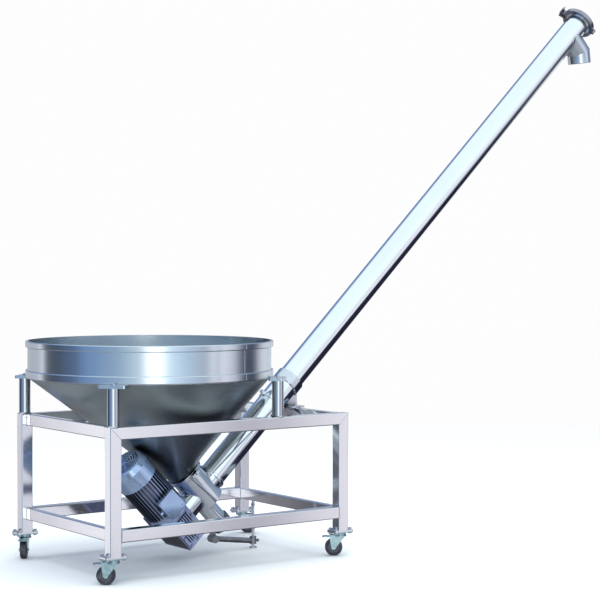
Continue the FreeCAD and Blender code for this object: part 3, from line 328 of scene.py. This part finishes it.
def small_metals(metal):
    """Casters, fasteners, the arm under the gearbox, the shafts and the weld beads."""
    # The zinc and the arm get painted shade in their hollows.
    metal("zinc_plate", (0.46, 0.62, 0.66), (0.20, 0.36), grain_even(520.0), 0.18, patch=0.14,
          patch_scale=60.0, hollow=(0.015, 0.6))
    metal("fastener_steel", (0.62, 0.64, 0.68), (0.18, 0.36), grain_even(700.0), 0.14, patch=0.12,
          patch_scale=50.0)
    metal("arm_steel", (0.26, 0.26, 0.28), (0.20, 0.34), grain_along(0), 0.10, patch=0.16,
          patch_scale=18.0, hollow=(0.02, 0.6))
    metal("bearing_steel", (0.66, 0.66, 0.69), (0.16, 0.30), grain_on_line(), 0.08)
    metal("bronze", (0.62, 0.43, 0.20), (0.28, 0.42), grain_even(500.0), 0.12)
    metal("weld", (0.62, 0.60, 0.66), (0.22, 0.40), grain_even(800.0), 0.2, patch=0.25, patch_scale=70.0)


def plastics(plastic):
    """Tyres, hubs, the fan and the lid's gasket."""
    plastic("tyre_rubber", (0.035, 0.033, 0.05), (0.42, 0.66), grain_even(900.0), 0.25, patch=0.2,
            patch_scale=30.0, dust=0.18)
    plastic("hub_plastic", (0.11, 0.11, 0.14), (0.30, 0.46), grain_even(1100.0), 0.12, patch=0.1,
            patch_scale=40.0)
    plastic("fan_plastic", (0.018, 0.018, 0.020), (0.38, 0.52), grain_even(900.0), 0.12)
    plastic("gasket", (0.02, 0.02, 0.022), (0.5, 0.7), grain_even(900.0), 0.2)


def make_materials():
    made = {}

    def metal(name, colour, rough, grain, relief, **more):
        made[name] = surface(name, colour, 1.0, rough, grain, relief, **more)

    def plastic(name, colour, rough, grain, relief, **more):
        made[name] = surface(name, colour, 0.0, rough, grain, relief, **more)

    sheet_metals(metal)
    small_metals(metal)
    plastics(plastic)
    # Painted shade: the casting is darker between its fins and on its underside, and the painted cowl is darker in
    # its grille's slots.
    made["cast_aluminium"] = surface(
        "cast_aluminium", CASTING_TONE, 0.85, (0.24, 0.36), grain_even(650.0), 0.22, patch=0.12,
        patch_scale=25.0, coat=0.15, hollow=(0.030, 1.0), under=0.88)
    made["painted_silver"] = surface(
        "painted_silver", SILVER_TONE, 0.8, (0.16, 0.26), grain_even(380.0), 0.10, patch=0.08,
        patch_scale=14.0, coat=0.35, hollow=(0.022, 1.0))
    return made


def assign(node, material):
    for place in nodes[node].material_slots:
        place.material = material
    if not nodes[node].material_slots:
        nodes[node].data.materials.append(material)


def longest_axis(node):
    low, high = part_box(node)
    span = high - low
    return "XYZ"[max(range(3), key=lambda i: span[i])]


OWN_MATERIAL = {
    "hopper_cone": "cone_steel",
    "auger_tube": "tube_steel",
    "tube_collars": "tube_steel",
    "support_posts": "post_steel",
    "support_arm": "arm_steel",
    "end_clamp": "clamp_steel",
    "wing_nut": "clamp_steel",
}


def paint_nodes(made):
    """Each CAD node takes its own material or its slot's, with the stand's grain along its tubes."""
    for node, slot in slot_of.items():
        if node in OWN_MATERIAL:
            assign(node, made[OWN_MATERIAL[node]])
        elif slot == "frame_steel":
            assign(node, made["frame_steel_" + longest_axis(node)])
        else:
            assign(node, made[slot])


# ------------------------------------------------------------------ meshes
def new_piece(name, bm, material, body):
    for face in bm.faces:
        face.smooth = True
    mesh = bpy.data.meshes.new(name)
    bm.to_mesh(mesh)
    bm.free()
    mesh.materials.append(material)
    piece = bpy.data.objects.new(name, mesh)
    scene.collection.objects.link(piece)
    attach(piece, body)
    return piece


RIPPLE_STEP = 2.1


def sweep(bm, points, radius, closed, ripple, sides=8):
    """A round bar along the points, swelling and shrinking from point to point where it is rippled."""
    count = len(points)
    rings = []
    side = None
    for i, point in enumerate(points):
        ahead = points[(i + 1) % count] if closed or i + 1 < count else point
        behind = points[i - 1] if closed or i > 0 else point
        direction = (ahead - behind).normalized()
        if side is None:
            side = direction.orthogonal().normalized()
        side = (side - direction * side.dot(direction)).normalized()
        other = direction.cross(side)
        size = radius * (1 + ripple * math.sin(i * RIPPLE_STEP))
        ring = []
        for k in range(sides):
            angle = 2 * math.pi * k / sides
            outward = side * math.cos(angle) + other * math.sin(angle)
            ring.append(bm.verts.new(point + outward * size))
        rings.append(ring)
    last = count if closed else count - 1
    for i in range(last):
        a = rings[i]
        b = rings[(i + 1) % count]
        for k in range(sides):
            bm.faces.new((a[k], a[(k + 1) % sides], b[(k + 1) % sides], b[k]))
    if not closed:
        bm.faces.new(list(reversed(rings[0])))
        bm.faces.new(rings[-1])


def spaced(corners, step, closed):
    """Points about a step apart along the straight runs between the corners."""
    points = []
    ends = corners[1:] + corners[:1] if closed else corners[1:]
    for a, b in zip(corners, ends):
        n = max(1, round((b - a).length / step))
        points += [a.lerp(b, i / n) for i in range(n)]
    if not closed:
        points.append(corners[-1])
    return points


def loop_points(place, count):
    return [place(2 * math.pi * i / count) for i in range(count)]


def seams(name, paths, radius, material, ripple=0.16):
    """One piece made of a bar along each path, riding the stand."""
    bm = bmesh.new()
    for points, closed in paths:
        sweep(bm, points, radius, closed, ripple)
    bmesh.ops.recalc_face_normals(bm, faces=bm.faces)
    return new_piece(name, bm, material, "stand")


# ------------------------------------------------------------------ welds of the stand
WELD = 2.0 * MM
RAIL_WELD = 0.8 * WELD
MITRE_WELD = 0.45 * WELD
STEP = 2.6 * MM


def rail_end_paths(node, axis):
    """The weld round each end of a rail, on its outline."""
    low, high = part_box(node)
    u, v = [i for i in range(3) if i != axis]
    paths = []
    for end in (low[axis], high[axis]):
        corners = []
        for a, b in ((low[u], low[v]), (high[u], low[v]), (high[u], high[v]), (low[u], high[v])):
            point = Vector((0, 0, 0))
            point[axis] = end
            point[u] = a
            point[v] = b
            corners.append(point)
        paths.append((spaced(corners, STEP, True), True))
    return paths


def mitre_paths():
    """The ground seams where the long top rails meet the legs at 45 degrees."""
    paths = []
    rail_low, rail_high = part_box("top_rail_front")
    back_low, back_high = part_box("top_rail_back")
    drop = rail_high.z - rail_low.z
    for face_y in (rail_low.y, rail_high.y, back_low.y, back_high.y):
        for outer, sign in ((rail_low.x, 1), (rail_high.x, -1)):
            start = Vector((outer, face_y, rail_high.z))
            end = Vector((outer + sign * drop, face_y, rail_low.z))
            paths.append((spaced([start, end], STEP, False), False))
    return paths


def weld_stand(made):
    paths = []
    for side in ("front", "back"):
        paths += rail_end_paths("lower_rail_" + side, 0)
    for side in ("left", "right"):
        paths += rail_end_paths("lower_rail_" + side, 1)
        paths += rail_end_paths("top_rail_" + side, 1)
    seams("stand_welds", paths, RAIL_WELD, made["weld"])
    seams("mitre_welds", mitre_paths(), MITRE_WELD, made["weld"])


# ------------------------------------------------------------------ seams of the hopper
SEAM_HEADING = math.radians(-73.0)
CONE_WELD = 0.9 * WELD
SKIN_WELD = 0.5 * WELD
CONE_WELD_OUT = 1 * MM
CONE_WELD_DOWN = 1 * MM
HOOP_EDGE = 3 * MM
LOWER_HOOP_TOP = 29 * MM
RIM_HOOP_DROP = 23 * MM
SEAM_GAP = 3 * MM
RING_POINTS = 900


def round_hopper(radius, z, heading):
    return Vector((hopper_mid.x + radius * math.cos(heading), hopper_mid.y + radius * math.sin(heading), z))


def upright_seam(radius, heading, z0, z1):
    ends = [round_hopper(radius, z, heading) for z in (z0, z1)]
    return spaced(ends, STEP, False), False


def hopper_seams(made):
    """The weld where the cone meets the cylinder, and two upright seams, on the skin and on each hoop."""
    low = hopper_low.z
    high = hopper_high.z
    hoop_low, hoop_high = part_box("hopper_hoops")
    hoop_radius = (hoop_high.x - hoop_low.x) / 2
    weld_radius = hopper_radius + CONE_WELD_OUT
    ring = loop_points(lambda t: round_hopper(weld_radius, low - CONE_WELD_DOWN, t), RING_POINTS)
    seams("cone_top_weld", [(ring, True)], CONE_WELD, made["weld"])
    upright = []
    for heading in (SEAM_HEADING, SEAM_HEADING + math.pi):
        upright.append(upright_seam(hopper_radius, heading, low + LOWER_HOOP_TOP + SEAM_GAP,
                                    high - RIM_HOOP_DROP - SEAM_GAP))
        upright.append(upright_seam(hoop_radius, heading, low + HOOP_EDGE, low + LOWER_HOOP_TOP))
        upright.append(upright_seam(hoop_radius, heading, high - RIM_HOOP_DROP, high - HOOP_EDGE))
    seams("hopper_seams", upright, SKIN_WELD, made["weld"])


# ------------------------------------------------------------------ seams of the tube and the spout
TUBE_RADIUS = 58 * MM
CLEAN_OUT_LIP = 6 * MM
PIPE_RING_POINTS = 220


def pipe_ring(place):
    return loop_points(place, PIPE_RING_POINTS), True


def drum_edge(drum_middle, drum_radius, sign):
    """Where the tube goes through the drum's curved wall, above it or below it."""
    def place(t):
        y = TUBE_RADIUS * math.sin(t)
        rise = math.sqrt(drum_radius ** 2 - y ** 2)
        return on_line(TUBE_RADIUS * math.cos(t), y, drum_middle + sign * rise)
    return place


def weld_drum(made):
    drum_low, drum_high = line_reach("inlet_housing")
    drum_radius = (drum_high.z - drum_low.z) / 2
    drum_middle = (drum_high.z + drum_low.z) / 2
    pipe_low, pipe_high = line_reach("clean_out_pipe")
    pipe_radius = (pipe_high.z - pipe_low.z) / 2 - CLEAN_OUT_LIP
    pipe_middle = (pipe_high.z + pipe_low.z) / 2

    def pipe_edge(t):
        return on_line(drum_high.x, pipe_radius * math.cos(t), pipe_middle + pipe_radius * math.sin(t))

    paths = [pipe_ring(drum_edge(drum_middle, drum_radius, sign)) for sign in (-1, 1)]
    paths.append(pipe_ring(pipe_edge))
    seams("drum_welds", paths, WELD, made["weld"])


def weld_spout(made):
    """The saddle-shaped weld where the spout's branch leaves the tube."""
    branch_middle = line_reach("discharge_spout")[0].z + TUBE_RADIUS

    def saddle(t):
        across = TUBE_RADIUS * math.cos(t)
        return on_line(abs(across), TUBE_RADIUS * math.sin(t), branch_middle + across)

    seams("spout_weld", [pipe_ring(saddle)], RAIL_WELD, made["weld"])


GASKET_INSET = 3.4 * MM
GASKET_RADIUS = 1.1 * MM
GASKET_STEP = 6 * MM


def lid_gasket(made):
    low, high = line_reach("terminal_box_lid")
    x0 = low.x + GASKET_INSET
    x1 = high.x - GASKET_INSET
    z0 = low.z + GASKET_INSET
    z1 = high.z - GASKET_INSET
    corners = [on_line(x, high.y, z) for x, z in ((x0, z0), (x1, z0), (x1, z1), (x0, z1))]
    paths = [(spaced(corners, GASKET_STEP, True), True)]
    seams("lid_gasket", paths, GASKET_RADIUS, made["gasket"], ripple=0.0)


# ------------------------------------------------------------------ studio
# Each stop is a heading and the colour there. Heading 0.5 is where the photographer stands, 0.75 to
# their right, 0.25 to their left, and 0 and 1 straight ahead.
# Round the horizon: a strip light behind the photographer, blue to its left, and pale panels with dark
# screens beside them, which the flat faces of the stand reflect.
HORIZON = [
    (0.00, (0.62, 0.64, 0.68)), (0.10, (0.56, 0.58, 0.62)), (0.165, (0.62, 0.62, 0.68)),
    (0.177, (0.80, 0.80, 0.86)), (0.184, (1.35, 1.35, 1.40)), (0.193, (0.45, 0.45, 0.50)),
    (0.205, (0.10, 0.10, 0.11)), (0.245, (0.07, 0.09, 0.13)), (0.30, (0.10, 0.15, 0.26)),
    (0.355, (0.22, 0.36, 0.62)), (0.42, (0.34, 0.48, 0.66)), (0.485, (0.66, 0.80, 0.90)),
    (0.525, (2.3, 2.35, 2.3)), (0.57, (0.86, 1.06, 1.20)), (0.62, (0.62, 0.76, 0.92)),
    (0.66, (0.55, 0.58, 0.68)), (0.676, (0.90, 0.92, 1.00)), (0.687, (1.10, 1.11, 1.17)),
    (0.6965, (0.50, 0.50, 0.58)), (0.706, (1.10, 1.09, 1.15)), (0.74, (0.86, 0.84, 0.92)),
    (0.785, (0.10, 0.12, 0.17)), (0.82, (0.06, 0.07, 0.10)), (0.88, (0.85, 0.86, 0.90)),
    (1.00, (0.62, 0.64, 0.68))]
# Higher up: bright over the photographer's head and blue ahead.
WALLS = [
    (0.00, (0.12, 0.20, 0.40)), (0.15, (0.20, 0.32, 0.58)), (0.30, (0.34, 0.50, 0.76)),
    (0.43, (0.80, 0.96, 1.04)), (0.52, (1.12, 1.24, 1.28)), (0.68, (1.05, 1.18, 1.24)),
    (0.82, (0.32, 0.42, 0.58)), (1.00, (0.12, 0.20, 0.40))]
# Below: a grey ground, with the dark screens that give the auger tube its black band.
GROUND = [
    (0.00, (0.22, 0.23, 0.26)), (0.20, (0.26, 0.27, 0.30)), (0.40, (0.44, 0.48, 0.50)),
    (0.52, (0.40, 0.43, 0.43)), (0.655, (0.55, 0.56, 0.62)), (0.69, (0.03, 0.03, 0.05)),
    (0.705, (0.03, 0.03, 0.05)), (0.725, (0.70, 0.72, 0.80)), (0.745, (0.02, 0.02, 0.04)),
    (0.93, (0.02, 0.02, 0.04)), (1.00, (0.22, 0.23, 0.26))]
CEILING = (1.02, 1.16, 1.22, 1)
BACKDROP = (0.985, 0.985, 0.99, 1)


def camera_ray(tree):
    return add(tree, "ShaderNodeLightPath").outputs["Is Camera Ray"]


def heading_socket(tree, x, y):
    """Where a direction points round the room, from 0 to 1, as the ramps above count it."""
    aim = Vector((CAMERA_AIM.x, CAMERA_AIM.y)).normalized()

    def dot(a, b):
        return math_node(tree, "ADD", math_node(tree, "MULTIPLY", x, a), math_node(tree, "MULTIPLY", y, b))

    angle = math_node(tree, "ARCTAN2", dot(aim.y, -aim.x), dot(-aim.x, -aim.y))
    return math_node(tree, "ADD", math_node(tree, "DIVIDE", angle, 2 * math.pi), 0.5)


def make_world():
    world = bpy.data.worlds.new("studio")
    scene.world = world
    world.use_nodes = True
    tree = world.node_tree
    tree.nodes.clear()
    split = add(tree, "ShaderNodeSeparateXYZ", {0: add(tree, "ShaderNodeTexCoord").outputs["Generated"]})
    x, y, z = split.outputs
    heading = heading_socket(tree, x, y)
    below = math_node(tree, "MULTIPLY", z, -1.0)
    colour = blend_colours(tree, remap(tree, z, 0.06, 0.24, 0.0, 1.0), ramp(tree, heading, HORIZON),
                           ramp(tree, heading, WALLS))
    colour = blend_colours(tree, remap(tree, z, 0.55, 0.85, 0.0, 1.0), colour, CEILING)
    colour = blend_colours(tree, remap(tree, below, 0.17, 0.21, 0.0, 1.0), colour,
                           ramp(tree, heading, GROUND))
    studio = add(tree, "ShaderNodeBackground", {"Color": colour})
    plain = add(tree, "ShaderNodeBackground", {"Color": BACKDROP})
    mix = add(tree, "ShaderNodeMixShader", {0: camera_ray(tree), 1: studio.outputs[0], 2: plain.outputs[0]})
    out = add(tree, "ShaderNodeOutputWorld")
    tree.links.new(mix.outputs[0], out.inputs[0])


FLOOR_RADIUS = 9.0
FLOOR_SOLID = 2.4
FLOOR_GONE = 6.0
FLOOR_TONES = ((0.93, 0.93, 0.935, 1), (0.95, 0.95, 0.955, 1))
FLOOR_MOTTLE = 1.4


def floor_material(middle):
    """Pale paper that fades out with distance, and that only the camera sees."""
    made = bpy.data.materials.new("floor")
    made.use_nodes = True
    tree = made.node_tree
    tree.nodes.clear()
    place = place_socket(tree)
    away = add(tree, "ShaderNodeVectorMath", {0: place, 1: middle}, operation="DISTANCE").outputs["Value"]
    solid = math_node(tree, "SUBTRACT", 1.0, remap(tree, away, FLOOR_SOLID, FLOOR_GONE, 0.0, 1.0))
    clearness = math_node(tree, "SUBTRACT", 1.0, math_node(tree, "MULTIPLY", camera_ray(tree), solid))
    tone = blend_colours(tree, noise(tree, place, FLOOR_MOTTLE), *FLOOR_TONES)
    paper = add(tree, "ShaderNodeBsdfPrincipled",
                {"Base Color": tone, "Roughness": 0.7, "Specular IOR Level": 0.2})
    clear = add(tree, "ShaderNodeBsdfTransparent")
    mix = add(tree, "ShaderNodeMixShader", {0: clearness, 1: paper.outputs[0], 2: clear.outputs[0]})
    out = add(tree, "ShaderNodeOutputMaterial")
    tree.links.new(mix.outputs[0], out.inputs[0])
    return made


def make_floor():
    low, high = cad_box
    middle = (low + high) / 2
    middle.z = low.z
    bm = bmesh.new()
    bmesh.ops.create_circle(bm, cap_ends=True, segments=96, radius=FLOOR_RADIUS,
                            matrix=Matrix.Translation(middle))
    mesh = bpy.data.meshes.new("floor")
    bm.to_mesh(mesh)
    bm.free()
    mesh.materials.append(floor_material(middle))
    floor = bpy.data.objects.new("floor", mesh)
    scene.collection.objects.link(floor)


def area_light(name, place, target, size, power):
    """A soft light that the camera and the reflections don't see."""
    data = bpy.data.lights.new(name, "AREA")
    data.shape = "RECTANGLE"
    data.size, data.size_y = size
    data.energy = power
    light = bpy.data.objects.new(name, data)
    scene.collection.objects.link(light)
    light.location = place
    light.rotation_mode = "QUATERNION"
    light.rotation_quaternion = (target - place).to_track_quat("-Z", "Y")
    light.visible_camera = False
    light.visible_glossy = False
    return light


def make_lights():
    low, high = cad_box
    middle = (low + high) / 2
    over = Vector((middle.x, middle.y, 5.5))
    area_light("overhead", over, middle, (6.0, 5.0), 230.0)
    front = Vector((middle.x - 4.5, middle.y - 3.5, 3.2))
    warm = area_light("front_left", front, Vector((middle.x, middle.y, 0.6)), (2.5, 2.5), 70.0)
    warm.data.color = (1.0, 0.99, 0.97)


scene.view_settings.view_transform = "Standard"
make_camera()
materials = make_materials()
paint_nodes(materials)
weld_stand(materials)
hopper_seams(materials)
weld_drum(materials)
weld_spout(materials)
lid_gasket(materials)
make_world()
make_floor()
make_lights()
